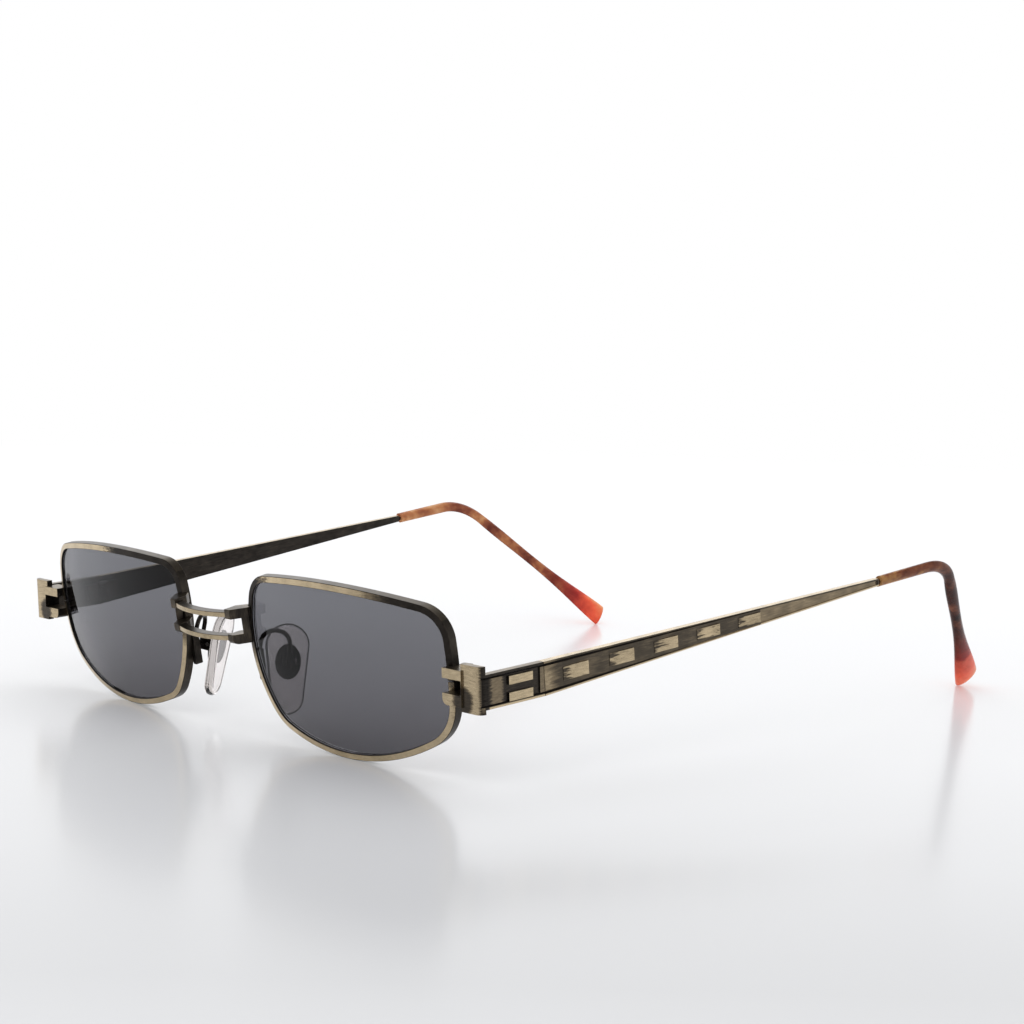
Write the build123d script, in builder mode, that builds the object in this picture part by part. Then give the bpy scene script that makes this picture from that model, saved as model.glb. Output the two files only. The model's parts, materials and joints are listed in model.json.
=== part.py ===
from build123d import *
import os
from math import cos, radians, sin, sqrt

# Narrow rectangle sunglasses, open, standing on the two rims and the two temple tips.
# X runs to the wearer's left, Y from the lenses back to the ears, Z up from the table.

os.makedirs("parts", exist_ok=True)

# Where the two lenses stand
lens_spacing = 66.0
lens_centre_height = 14.71
depth_to_middle = 76.28
lens_tilt = 11.6
lens_wrap = 5.0
lens_curve_radius = 91.7

# Lens opening, its four corners measured from the lens centre
nasal_top_reach = 20.7
nasal_top_rise = 13.1
temple_top_reach = 21.9
temple_top_rise = 11.1
temple_low_reach = 21.5
temple_low_drop = 7.6
nasal_low_reach = 16.9
nasal_low_drop = 10.5
top_bow = 1.95
temple_side_bow = 0.9
low_bow = 5.0
nasal_side_bow = 3.3
nasal_top_round = 4.3
temple_top_round = 5.4
temple_low_round = 8.2
nasal_low_round = 6.5

# Rims and lenses
rim_width = 1.12
rim_depth = 1.6
lens_recess = 0.35
lens_thickness = 1.1
lens_clearance = 0.04
bevel_reach = 0.42
bevel_thickness = 0.55
groove_clearance = 0.05
solder_gap = 0.02
rim_split_gap = 0.16
rim_split_rise = 0.75

# Rim locks and their screws
lock_width = 2.3
lock_depth = 1.6
lock_height = 2.1
lock_lap = 0.67
lock_step = 1.83
lock_screw_diameter = 1.1
lock_head_diameter = 1.9
lock_head_height = 0.6
thread_clearance = 0.03
slot_width = 0.3
slot_depth = 0.25

# Bridge bars and lugs
bridge_front = 3.1
bridge_bow = 1.25
bridge_bar_height = 0.9
bridge_bar_depth = 1.7
bridge_bar_spacing = 4.2
bridge_centre_height = 20.4
bridge_lead = 4.05
lug_height = 6.3
lug_lip_width = 1.5
lug_lip_depth = 2.5
lug_reach = 3.4
lug_window_height = 2.8
lug_window_reach = 2.6
lug_web_back = 4.1
lug_back_step = 0.3
lug_corner_round = 0.9

# Hinges
hinge_reach = 4.76
hinge_setback = 17.5
hinge_centre_height = 16.78
temple_rise_angle = 7.0
temple_splay_angle = 2.8
wall_offset = 1.3
knuckle_radius = 1.15
knuckle_height = 1.1
knuckle_gap = 0.04
hinge_leaf_length = 3.4
hinge_web_setback = 1.35
hinge_screw_diameter = 1.1
hinge_screw_head_diameter = 1.8
hinge_screw_head_height = 0.3
running_clearance = 0.04
fold_gap = 0.1

# End pieces
arm_rise_angle = 4.0
arm_thickness = 1.35
arm_height = 5.65
arm_front_step = 0.48
plate_top = 4.17
plate_bottom = 3.53
plate_thickness = 1.15
plate_reach = 2.91
plate_bend_round = 1.1
clasp_overlap = 1.09
clasp_reach = 3.31
clasp_top = 3.12
clasp_bottom = 2.83
clasp_lead = 0.35
clasp_depth = 3.1
clasp_window_height = 2.4
clasp_window_rise = 0.27
clasp_window_reach = 3.23
clasp_corner_round = 1.1
arm_rail = 0.45
arm_groove = 0.3
arm_groove_depth = 0.3
arm_groove_length = 15.0
field_length = 7.7
field_depth = 0.25
field_end_band = 1.1
bar_length = 5.3
bar_height = 1.4
bar_proud = 0.12
bar_rise = 1.12
bar_drop = 1.55
bar_end_gap = 1.7

# Temple bars
temple_length = 84.6
temple_height = 5.65
temple_thickness = 1.35
neck_height = 1.35
neck_thickness = 1.2
rail_at_hinge = 0.35
rail_at_neck = 0.12
groove_at_hinge = 0.42
groove_at_neck = 0.12
groove_depth = 0.28
tile_count = 5
first_tile = 4.1
tile_pitch = 10.45
tile_length = 5.4
first_tile_height = 2.25
last_tile_height = 1.75
tile_start_proud = 0.08
tile_end_proud = 0.36
scoop_depth = 0.12
scoop_margin = 0.25
tail_start = 51.7
tail_depth = 0.22
tail_rail = 0.3

# Temple tips and the wire inside them
tip_straight = 15.0
tip_bend_radius = 13.0
tip_drop_angle = 37.4
tip_inward_angle = 25.5
tip_drop_length = 39.62
core_diameter = 1.0
core_clearance = 0.04
core_share = 0.9
tip_overlap = 0.6
tip_start_height = 2.25
tip_start_width = 1.65
tip_bend_height = 2.35
tip_bend_width = 1.7
tip_drop_height = 2.55
tip_drop_width = 1.7
tip_low_height = 3.5
tip_low_width = 1.7
tip_flare_height = 4.9
tip_flare_width = 1.95
tip_end_height = 5.8
tip_end_width = 2.3
flare_length = 6.4
tip_end_dome = 0.36

# Nose pads
pad_inset = 1.53
pad_setback = 8.0
pad_centre_height = 13.2
pad_flare_angle = 32.0
pad_rake_angle = 10.0
pad_low_radius = 2.8
pad_high_radius = 3.8
pad_low_offset = 6.4
pad_high_offset = 2.9
pad_thickness = 1.7
pad_edge_round = 0.7
mount_disc_width = 4.4
mount_disc_height = 6.2
mount_disc_thickness = 0.5
stem_width = 1.1
stem_height = 1.2
stem_reach = 1.4
pivot_height = 1.3
pad_screw_diameter = 0.6
pad_screw_head_diameter = 1.1
pad_screw_head_height = 0.3
box_cheek = 0.4
box_gap = 0.06
box_height = 2.2
box_start = 0.75
box_back = 0.35
box_back_gap = 0.15

# Pad arms
foot_width = 1.1
foot_depth = 1.3
foot_height = 5.6
foot_step = 2.2
foot_drop = 2.1
foot_setback = 4.6
wire_diameter = 0.8
wire_rise = 2.9
wire_lean = 1.6
wire_top_run = 5.2
wire_loop_radius = 2.2

# Spans from the middle, taken from the lens edges
side_reach = lens_spacing / 2
rim_nasal_span = side_reach - nasal_top_reach - rim_width
split_share = (rim_split_rise + temple_low_drop) / (temple_top_rise + temple_low_drop)
split_bow = temple_side_bow * (1 - (2 * split_share - 1) ** 2)
split_reach = temple_low_reach + (temple_top_reach - temple_low_reach) * split_share + split_bow
split_sag = lens_curve_radius - sqrt(lens_curve_radius**2 - split_reach**2)
rim_temple_span = side_reach + split_reach + rim_width
bridge_half_span = rim_nasal_span - bridge_lead
pad_half_span = side_reach - nasal_top_reach - pad_inset
hinge_half_span = rim_temple_span + hinge_reach

# Planes that everything is built on
tilt = radians(lens_tilt)
wrap = radians(lens_wrap)
lens_plane = Plane(
    origin=(side_reach, -depth_to_middle, lens_centre_height),
    x_dir=(cos(wrap), sin(wrap) * cos(tilt), sin(wrap) * sin(tilt)),
    z_dir=(sin(wrap), -cos(wrap) * cos(tilt), -cos(wrap) * sin(tilt)),
)
curve_plane = Plane(
    origin=lens_plane.offset(-lens_curve_radius).origin,
    x_dir=lens_plane.z_dir,
    z_dir=lens_plane.y_dir,
)
bridge_plane = Plane(
    origin=(0, -depth_to_middle, bridge_centre_height),
    x_dir=(1, 0, 0),
    z_dir=(0, -sin(tilt), cos(tilt)),
)
hinge_origin = (hinge_half_span, hinge_setback - depth_to_middle, hinge_centre_height)
hinge_plane = Plane(
    origin=hinge_origin,
    x_dir=(1, 0, 0),
    z_dir=(0, -sin(radians(temple_rise_angle)), cos(radians(temple_rise_angle))),
)
arm_plane = Plane(
    origin=hinge_origin,
    x_dir=(1, 0, 0),
    z_dir=(0, -sin(radians(arm_rise_angle)), cos(radians(arm_rise_angle))),
)
splay = radians(temple_splay_angle)
temple_plane = Plane(
    origin=hinge_origin,
    x_dir=hinge_plane.x_dir * cos(splay) - hinge_plane.y_dir * sin(splay),
    z_dir=hinge_plane.z_dir,
)


def lens_outline(grow):
    # The lens opening on the lens plane, made larger all round
    nasal_top = (-nasal_top_reach, nasal_top_rise)
    temple_top = (temple_top_reach, temple_top_rise)
    temple_low = (temple_low_reach, -temple_low_drop)
    nasal_low = (-nasal_low_reach, -nasal_low_drop)
    rounds = (
        (nasal_top, nasal_top_round),
        (temple_top, temple_top_round),
        (temple_low, temple_low_round),
        (nasal_low, nasal_low_round),
    )
    with BuildSketch(Plane.XY) as opening:
        with BuildLine():
            SagittaArc(nasal_top, temple_top, top_bow)
            SagittaArc(temple_top, temple_low, temple_side_bow)
            SagittaArc(temple_low, nasal_low, low_bow)
            SagittaArc(nasal_low, nasal_top, nasal_side_bow)
        make_face()
        for corner, corner_round in rounds:
            fillet(opening.vertices().sort_by_distance(corner)[0], corner_round)
        if grow:
            offset(amount=grow)
    # Every edge of the grown outline is drawn again as a true arc
    with BuildSketch(Plane.XY) as outline:
        with BuildLine():
            for edge in opening.edges():
                ThreePointArc(edge @ 0, edge @ 0.5, edge @ 1)
        make_face()
    return outline.sketch


def curved_slab(grow, front, back):
    # A piece of the lens curve between two depths behind the rim's front face
    outline = lens_outline(grow)
    with BuildPart() as slab:
        with BuildSketch(lens_plane):
            add(outline)
        extrude(amount=rim_depth + bridge_front + side_reach, both=True)
        with Locations(curve_plane):
            Sphere(lens_curve_radius - front, mode=Mode.INTERSECT)
            Sphere(lens_curve_radius - back, mode=Mode.SUBTRACT)
    return slab.part


def mirrored(piece):
    # The same piece for the wearer's right side
    with BuildPart() as copy:
        mirror(piece, about=Plane.YZ)
    return copy.part


# Rim: a flat ring on the lens curve, grooved inside, split at the temple side
bevel_front = lens_recess + (lens_thickness - bevel_thickness) / 2
bevel_back = bevel_front + bevel_thickness
rim_blank = curved_slab(rim_width, 0, rim_depth)
rim_opening = curved_slab(0, -rim_depth, rim_depth + rim_depth)
rim_groove = curved_slab(
    bevel_reach + groove_clearance,
    bevel_front - groove_clearance,
    bevel_back + groove_clearance,
)
rim_space = curved_slab(rim_width + solder_gap, -solder_gap, rim_depth + solder_gap)
split_spot = lens_plane.offset(-rim_depth * 2)
with BuildPart() as rim:
    add(rim_blank)
    add(rim_opening, mode=Mode.SUBTRACT)
    add(rim_groove, mode=Mode.SUBTRACT)
    with BuildSketch(split_spot):
        with Locations((split_reach, rim_split_rise)):
            Rectangle(rim_width * 4, rim_split_gap)
    extrude(amount=rim_depth * 2, both=True, mode=Mode.SUBTRACT)

# Lens: smoke lens with a thinner bevelled edge that sits in the groove
lens_body = curved_slab(-lens_clearance, lens_recess, lens_recess + lens_thickness)
lens_bevel = curved_slab(bevel_reach, bevel_front, bevel_back)
with BuildPart() as lens:
    add(lens_body)
    add(lens_bevel)

# Rim locks: two blocks behind the end piece, drawn together by a screw from below
lock_reach = split_reach + rim_width + lock_width / 2 - lock_lap
lock_plane = lens_plane.offset(-split_sag - lock_step - lock_depth / 2)
lock_axis = Plane(
    origin=lock_plane.from_local_coords((lock_reach + lock_width / 8, rim_split_rise, 0)),
    x_dir=lens_plane.x_dir,
    z_dir=lens_plane.y_dir,
)
lock_low_end = lock_axis.offset(-rim_split_gap / 2 - lock_height)
with BuildPart() as rim_lock_upper:
    with BuildSketch(lock_axis.offset(rim_split_gap / 2)):
        Rectangle(lock_width, lock_depth)
    extrude(amount=lock_height)
    fillet(rim_lock_upper.edges().filter_by(Axis(lock_axis.origin, lock_axis.z_dir)), lock_width / 5)
    add(rim_space, mode=Mode.SUBTRACT)
    with BuildSketch(lock_axis):
        Circle(lock_screw_diameter / 2 + thread_clearance)
    extrude(amount=lock_height * 0.8, mode=Mode.SUBTRACT)
with BuildPart() as rim_lock_lower:
    with BuildSketch(lock_low_end):
        Rectangle(lock_width, lock_depth)
    extrude(amount=lock_height)
    fillet(rim_lock_lower.edges().filter_by(Axis(lock_axis.origin, lock_axis.z_dir)), lock_width / 5)
    add(rim_space, mode=Mode.SUBTRACT)
    with BuildSketch(lock_low_end):
        Circle(lock_screw_diameter / 2 + thread_clearance)
    extrude(amount=lock_height, mode=Mode.SUBTRACT)
with BuildPart() as rim_lock_screw:
    with BuildSketch(lock_low_end.offset(-lock_head_height - solder_gap)):
        Circle(lock_head_diameter / 2)
    extrude(amount=lock_head_height)
    with BuildSketch(lock_low_end.offset(-solder_gap)):
        Circle(lock_screw_diameter / 2)
    extrude(amount=lock_height * 1.6)
    with BuildSketch(lock_low_end.offset(-lock_head_height - solder_gap)):
        Rectangle(lock_head_diameter * 2, slot_width)
    extrude(amount=slot_depth, mode=Mode.SUBTRACT)

# Bridge: two thin bars, bowed forwards
bar_back = -bridge_front + bridge_bar_depth
with BuildSketch(Plane.XY) as bridge_bar_plan:
    with BuildLine():
        front_line = SagittaArc(
            (-bridge_half_span, -bridge_front), (bridge_half_span, -bridge_front), -bridge_bow
        )
        back_line = SagittaArc(
            (-bridge_half_span, bar_back), (bridge_half_span, bar_back), -bridge_bow
        )
        Line(front_line @ 0, back_line @ 0)
        Line(front_line @ 1, back_line @ 1)
    make_face()
bar_level = bridge_bar_spacing / 2
with BuildPart() as bridge_bar_upper:
    with BuildSketch(bridge_plane.offset(bar_level - bridge_bar_height / 2)):
        add(bridge_bar_plan.sketch)
    extrude(amount=bridge_bar_height)
with BuildPart() as bridge_bar_lower:
    with BuildSketch(bridge_plane.offset(-bar_level - bridge_bar_height / 2)):
        add(bridge_bar_plan.sketch)
    extrude(amount=bridge_bar_height)

# Bridge lug: a C-shaped clasp whose window opens towards the middle
lug_start = bridge_half_span + solder_gap
lug_front = -bridge_front - solder_gap * 4
lug_end = lug_start + lug_reach
with BuildPart() as bridge_lug:
    with BuildSketch(bridge_plane.offset(-lug_height / 2)):
        with BuildLine():
            Polyline(
                (lug_start, lug_front),
                (lug_start + lug_lip_width, lug_front),
                (lug_end, lug_front + lug_reach - lug_lip_width + bridge_bow / 2),
                (lug_end, lug_front + lug_web_back + bridge_bow / 2 - lug_back_step),
                (lug_start + lug_lip_width, lug_front + lug_web_back),
                (lug_start, lug_front + lug_lip_depth),
                close=True,
            )
        make_face()
    extrude(amount=lug_height)
    lug_low_edges = bridge_lug.faces().sort_by(Axis.Z)[0].edges().sort_by(Axis.Y)[0]
    fillet(lug_low_edges, lug_corner_round)
    with BuildSketch(bridge_plane.offset(-lug_window_height / 2)):
        with Locations((lug_start, 0)):
            Rectangle(lug_window_reach * 2, lug_web_back * 4)
    extrude(amount=lug_window_height, mode=Mode.SUBTRACT)
    add(rim_space, mode=Mode.SUBTRACT)

# End piece: forked clasp over the rim, taller plate, bend and side arm
arm_outer = wall_offset + arm_thickness
arm_front = split_sag + arm_front_step - hinge_setback
plate_inner = plate_reach - hinge_reach
clasp_inner = -clasp_overlap - hinge_reach
clasp_outer = clasp_reach - hinge_reach
window_outer = clasp_window_reach - hinge_reach
with BuildPart() as endpiece:
    with BuildSketch(arm_plane.offset(-arm_height / 2)) as arm_plan:
        with BuildLine():
            Polyline(
                (plate_inner, arm_front),
                (arm_outer, arm_front),
                (arm_outer, arm_height),
                (wall_offset, arm_height),
                (wall_offset, arm_front + plate_thickness + plate_bend_round),
                (wall_offset - plate_bend_round, arm_front + plate_thickness),
                (plate_inner, arm_front + plate_thickness),
                close=True,
            )
        make_face()
        fillet(arm_plan.vertices().sort_by_distance((arm_outer, arm_front))[0], plate_bend_round)
    extrude(amount=arm_height)
    with BuildSketch(arm_plane.offset(-plate_bottom)) as plate_plan:
        with Locations(((plate_inner + arm_outer) / 2, arm_front + plate_thickness / 2)):
            Rectangle(arm_outer - plate_inner, plate_thickness)
        fillet(plate_plan.vertices().sort_by_distance((arm_outer, arm_front))[0], plate_bend_round)
    extrude(amount=plate_top + plate_bottom)
    with BuildSketch(arm_plane.offset(-clasp_bottom)) as clasp_plan:
        with Locations(((clasp_inner + clasp_outer) / 2, arm_front - clasp_lead + clasp_depth / 2)):
            Rectangle(clasp_outer - clasp_inner, clasp_depth)
    extrude(amount=clasp_top + clasp_bottom)
    clasp_corner = endpiece.vertices().sort_by_distance(
        arm_plane.from_local_coords((clasp_inner, arm_front, -clasp_bottom))
    )[0]
    clasp_edges = endpiece.edges().filter_by(Axis.Y, tolerance=5).sort_by_distance(clasp_corner)
    fillet(clasp_edges[0], clasp_corner_round)
    with BuildSketch(arm_plane.offset(clasp_window_rise - clasp_window_height / 2)):
        with Locations((window_outer, arm_front)):
            Rectangle((window_outer - clasp_inner) * 4, clasp_depth * 4, align=(Align.MAX, Align.CENTER))
    extrude(amount=clasp_window_height, mode=Mode.SUBTRACT)
    add(rim_space, mode=Mode.SUBTRACT)
    # Two long grooves leave a thin rail above and below
    for edge_side in (1, -1):
        groove_level = edge_side * (arm_height / 2 - arm_rail - arm_groove / 2) - arm_groove / 2
        with BuildSketch(arm_plane.offset(groove_level)):
            with Locations((arm_outer, arm_height)):
                Rectangle(
                    arm_groove_depth * 2,
                    arm_groove_length + arm_height,
                    align=(Align.CENTER, Align.MAX),
                )
        extrude(amount=arm_groove, mode=Mode.SUBTRACT)
    # Sunk field with two raised bars
    field_height = arm_height - arm_rail * 2
    with BuildSketch(arm_plane.offset(-field_height / 2)):
        with Locations((arm_outer, -field_end_band)):
            Rectangle(field_depth * 2, field_length, align=(Align.CENTER, Align.MAX))
    extrude(amount=field_height, mode=Mode.SUBTRACT)
    for bar_level_here in (bar_rise, -bar_drop):
        with BuildSketch(arm_plane.offset(bar_level_here - bar_height / 2)):
            with Locations((arm_outer + bar_proud, -field_end_band - bar_end_gap)):
                Rectangle(field_depth + bar_proud * 2, bar_length, align=(Align.MAX, Align.MAX))
        extrude(amount=bar_height)
    # The back end is cut parallel to the end of the open temple
    with BuildSketch(temple_plane.offset(-plate_top * 2)):
        with Locations((0, -fold_gap / 2)):
            Rectangle(arm_outer * 4, arm_height * 4, align=(Align.CENTER, Align.MIN))
    extrude(amount=plate_top * 4, mode=Mode.SUBTRACT)


def knuckle_stack(plane, direction, levels):
    # Knuckles on the hinge axis, each with a tab to the wall, and a web that joins them
    stack_height = knuckle_height * 3 + knuckle_gap * 2
    with BuildPart() as stack:
        for level in levels:
            with BuildSketch(plane.offset(level - knuckle_height / 2)):
                Circle(knuckle_radius)
                with BuildLine():
                    Polyline(
                        (0, 0),
                        (wall_offset - solder_gap, 0),
                        (wall_offset - solder_gap, direction * hinge_leaf_length),
                        (0, direction * hinge_leaf_length),
                        close=True,
                    )
                make_face()
            extrude(amount=knuckle_height)
        with BuildSketch(plane.offset(-stack_height / 2)):
            with Locations((wall_offset - solder_gap, direction * (hinge_web_setback + hinge_leaf_length) / 2)):
                Rectangle(
                    wall_offset - solder_gap,
                    hinge_leaf_length - hinge_web_setback,
                    align=(Align.MAX, Align.CENTER),
                )
        extrude(amount=stack_height)
        with BuildSketch(plane.offset(-stack_height)):
            Circle(hinge_screw_diameter / 2 + running_clearance)
        extrude(amount=stack_height * 2, mode=Mode.SUBTRACT)
    return stack.part


# Hinge: two knuckles on the end piece, one on the temple, a screw through all three
knuckle_step = knuckle_height + knuckle_gap
front_knuckles = knuckle_stack(hinge_plane, -1, (knuckle_step, -knuckle_step))
temple_knuckle = knuckle_stack(temple_plane, 1, (0,))
with BuildPart() as hinge_front:
    add(front_knuckles)
with BuildPart() as hinge_temple:
    add(temple_knuckle)
hinge_top = hinge_plane.offset(knuckle_step + knuckle_height / 2 + solder_gap)
with BuildPart() as hinge_screw:
    with BuildSketch(hinge_top):
        Circle(hinge_screw_head_diameter / 2)
    extrude(amount=hinge_screw_head_height)
    with BuildSketch(hinge_top):
        Circle(hinge_screw_diameter / 2)
    extrude(amount=-knuckle_height * 3 - knuckle_gap * 2)
    with BuildSketch(hinge_top.offset(hinge_screw_head_height)):
        Rectangle(hinge_screw_head_diameter * 2, slot_width)
    extrude(amount=-slot_depth, mode=Mode.SUBTRACT)


def temple_station(distance):
    # A plane square to the temple, its origin on the temple's inner wall
    return Plane(
        origin=temple_plane.from_local_coords((wall_offset, distance, 0)),
        x_dir=temple_plane.x_dir,
        z_dir=temple_plane.y_dir,
    )


def bar_height_at(distance):
    return temple_height + (neck_height - temple_height) * distance / temple_length


def bar_thickness_at(distance):
    return temple_thickness + (neck_thickness - temple_thickness) * distance / temple_length


# Temple: a tapered bar with rails, grooves and tiles, its end drawn out to a wire
neck_centre = temple_plane.from_local_coords((wall_offset + neck_thickness / 2, temple_length, 0))
along_temple = temple_plane.y_dir
down_tip = Vector(
    -cos(radians(tip_drop_angle)) * sin(radians(tip_inward_angle)),
    cos(radians(tip_drop_angle)) * cos(radians(tip_inward_angle)),
    -sin(radians(tip_drop_angle)),
)
tip_turn = along_temple.get_angle(down_tip)
tip_plane = Plane(origin=neck_centre, x_dir=along_temple, z_dir=along_temple.cross(down_tip))
with BuildLine(tip_plane) as tip_path:
    straight_run = Line((-tip_overlap, 0), (tip_straight, 0))
    bend_run = JernArc(straight_run @ 1, straight_run % 1, tip_bend_radius, tip_turn)
    drop_run = Line(bend_run @ 1, (bend_run @ 1) + (bend_run % 1) * tip_drop_length)
bend_length = tip_bend_radius * radians(tip_turn)
path_length = tip_overlap + tip_straight + bend_length + tip_drop_length
core_end = core_share * path_length - tip_overlap - tip_straight - bend_length
with BuildLine(tip_plane) as core_path:
    core_straight = Line((-tip_overlap, 0), (tip_straight, 0))
    core_bend = JernArc(core_straight @ 1, core_straight % 1, tip_bend_radius, tip_turn)
    Line(core_bend @ 1, (core_bend @ 1) + (core_bend % 1) * core_end)
with BuildLine(tip_plane) as bore_path:
    bore_straight = Line((-tip_overlap * 3, 0), (tip_straight, 0))
    bore_bend = JernArc(bore_straight @ 1, bore_straight % 1, tip_bend_radius, tip_turn)
    Line(bore_bend @ 1, (bore_bend @ 1) + (bore_bend % 1) * (core_end + core_clearance))


def temple_groove(edge_side):
    # The long groove beside the upper rail, or beside the lower one
    with BuildPart() as groove_cutter:
        for distance, rail, groove in (
            (-fold_gap, rail_at_hinge, groove_at_hinge),
            (tail_start, rail_at_neck, groove_at_neck),
        ):
            groove_middle = edge_side * (bar_height_at(distance) / 2 - rail - groove / 2)
            with BuildSketch(temple_station(distance)):
                with Locations((bar_thickness_at(distance), groove_middle)):
                    Rectangle(groove_depth * 2, groove)
        loft()
    return groove_cutter.part


upper_groove = temple_groove(1)
lower_groove = temple_groove(-1)
with BuildPart() as temple:
    for distance in (fold_gap / 2, temple_length):
        with BuildSketch(temple_station(distance)):
            Rectangle(
                bar_thickness_at(distance),
                bar_height_at(distance),
                align=(Align.MIN, Align.CENTER),
            )
    loft()
    add(upper_groove, mode=Mode.SUBTRACT)
    add(lower_groove, mode=Mode.SUBTRACT)

tile_starts = [first_tile + tile_pitch * number for number in range(tile_count)]
tile_drop = (first_tile_height - last_tile_height) / (tile_count - 1)

with BuildPart() as temple_face:
    add(temple.part)
    # Shallow ramps between the tiles, deepest behind the tile before
    scoop_starts = [0] + [start + tile_length for start in tile_starts[:-1]]
    for scoop_start, scoop_end in zip(scoop_starts, tile_starts):
        scoop_middle = (scoop_start + scoop_end) / 2
        scoop_height = bar_height_at(scoop_middle) - (rail_at_hinge + groove_at_hinge) * 2
        outer = wall_offset + bar_thickness_at(scoop_middle)
        with BuildSketch(temple_plane.offset(-scoop_height / 2)):
            with BuildLine():
                Polyline(
                    (outer - scoop_depth, scoop_start + scoop_margin),
                    (outer + scoop_depth, scoop_start + scoop_margin),
                    (outer + scoop_depth, scoop_end),
                    (outer, scoop_end),
                    close=True,
                )
            make_face()
        extrude(amount=scoop_height, mode=Mode.SUBTRACT)
    # Raised tiles, each a little prouder at its back end
    for number, start in enumerate(tile_starts):
        tile_height = first_tile_height - tile_drop * number
        outer = wall_offset + bar_thickness_at(start)
        with BuildSketch(temple_plane.offset(-tile_height / 2)):
            with BuildLine():
                Polyline(
                    (outer - groove_depth * 2, start),
                    (outer + tile_start_proud, start),
                    (outer + tile_end_proud, start + tile_length),
                    (outer - groove_depth * 2, start + tile_length),
                    close=True,
                )
            make_face()
        extrude(amount=tile_height)

tail_sections = []
for distance in (tail_start, temple_length - tail_rail):
    with BuildSketch(temple_station(distance)) as tail_section:
        with Locations((bar_thickness_at(distance), 0)):
            Rectangle(tail_depth * 2, bar_height_at(distance) - tail_rail * 2)
    tail_sections.append(tail_section.sketch.face())
with BuildPart() as tail_cutter:
    loft(tail_sections)

with BuildPart() as temple_bar:
    add(temple_face.part)
    add(tail_cutter.part, mode=Mode.SUBTRACT)
    with BuildSketch(Plane(origin=core_path.line @ 0, z_dir=core_path.line % 0)):
        Circle(core_diameter / 2)
    sweep(path=core_path.line)


def tip_station(share, height, width):
    # An oval across the tip path, its height in the plane of the bend
    station = Plane(
        origin=tip_path.line @ share,
        x_dir=tip_plane.z_dir,
        z_dir=tip_path.line % share,
    )
    with BuildSketch(station) as oval:
        Ellipse(width / 2, height / 2)
    return oval.sketch.face()


# Tip: plastic sleeve over the wire, bent behind the ear and flared at its end
sleeve_share = 2 * tip_overlap / path_length
bend_share = (tip_overlap + tip_straight) / path_length
drop_share = bend_share + bend_length / path_length
drop_span = 1 - drop_share
flare_span = flare_length / path_length
straight_sections = [
    tip_station(sleeve_share, tip_start_height, tip_start_width),
    tip_station(bend_share, tip_bend_height, tip_bend_width),
]
drop_sections = [
    tip_station(drop_share, tip_bend_height, tip_bend_width),
    tip_station(drop_share + drop_span / 4, tip_drop_height, tip_drop_width),
    tip_station(1 - flare_span * 3, tip_drop_height, tip_drop_width),
    tip_station(1 - flare_span * 2, tip_low_height, tip_low_width),
    tip_station(1 - flare_span, tip_flare_height, tip_flare_width),
    tip_station(1, tip_end_height, tip_end_width),
]
with BuildPart() as temple_tip:
    loft(straight_sections)
    sweep(tip_station(bend_share, tip_bend_height, tip_bend_width), path=bend_run)
    loft(drop_sections)
    end_rim = temple_tip.faces().sort_by_distance(tip_path.line @ 1)[0].edges()
    fillet(end_rim, tip_end_dome)
    with BuildSketch(Plane(origin=bore_path.line @ 0, z_dir=bore_path.line % 0)):
        Circle(core_diameter / 2 + core_clearance)
    sweep(path=bore_path.line, mode=Mode.SUBTRACT)

# Nose pad: clear oval on a metal mount that rocks in a small box
flare = radians(pad_flare_angle)
rake = radians(pad_rake_angle)
pad_plane = Plane(
    origin=(pad_half_span, pad_setback - depth_to_middle, pad_centre_height),
    x_dir=(sin(flare), cos(flare), 0),
    z_dir=(cos(flare) * cos(rake), -sin(flare) * cos(rake), sin(rake)),
)
with BuildPart() as nose_pad:
    with BuildSketch(pad_plane.offset(-solder_gap)):
        with Locations((0, -pad_low_offset)):
            Circle(pad_low_radius)
        with Locations((0, pad_high_offset)):
            Circle(pad_high_radius)
        make_hull()
    extrude(amount=-pad_thickness)
    fillet(nose_pad.edges(), pad_edge_round)
pivot_plane = Plane(
    origin=pad_plane.from_local_coords((0, 0, pivot_height)),
    x_dir=pad_plane.y_dir,
    z_dir=pad_plane.x_dir,
)
box_half = stem_width / 2 + box_gap + box_cheek
with BuildPart() as pad_mount:
    with BuildSketch(pad_plane):
        Ellipse(mount_disc_width / 2, mount_disc_height / 2)
    extrude(amount=mount_disc_thickness)
    with BuildSketch(pad_plane):
        Rectangle(stem_width, stem_height)
    extrude(amount=mount_disc_thickness + stem_reach)
    with BuildSketch(pivot_plane):
        Circle(pad_screw_diameter / 2 + running_clearance)
    extrude(amount=box_half, both=True, mode=Mode.SUBTRACT)
box_inner_back = mount_disc_thickness + stem_reach + box_back_gap
with BuildPart() as pad_box:
    with BuildSketch(pad_plane.offset(box_start)):
        Rectangle(box_half * 2, box_height)
    extrude(amount=box_inner_back + box_back - box_start)
    with BuildSketch(pad_plane):
        Rectangle(stem_width + box_gap * 2, box_height * 2)
    extrude(amount=box_inner_back, mode=Mode.SUBTRACT)
    with BuildSketch(pivot_plane):
        Circle(pad_screw_diameter / 2 + thread_clearance)
    extrude(amount=box_half * 2, both=True, mode=Mode.SUBTRACT)
with BuildPart() as pad_screw:
    with BuildSketch(pivot_plane.offset(-box_half)):
        Circle(pad_screw_diameter / 2)
    extrude(amount=box_half * 2 + solder_gap)
    with BuildSketch(pivot_plane.offset(box_half + solder_gap)):
        Circle(pad_screw_head_diameter / 2)
    extrude(amount=pad_screw_head_height)

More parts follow.
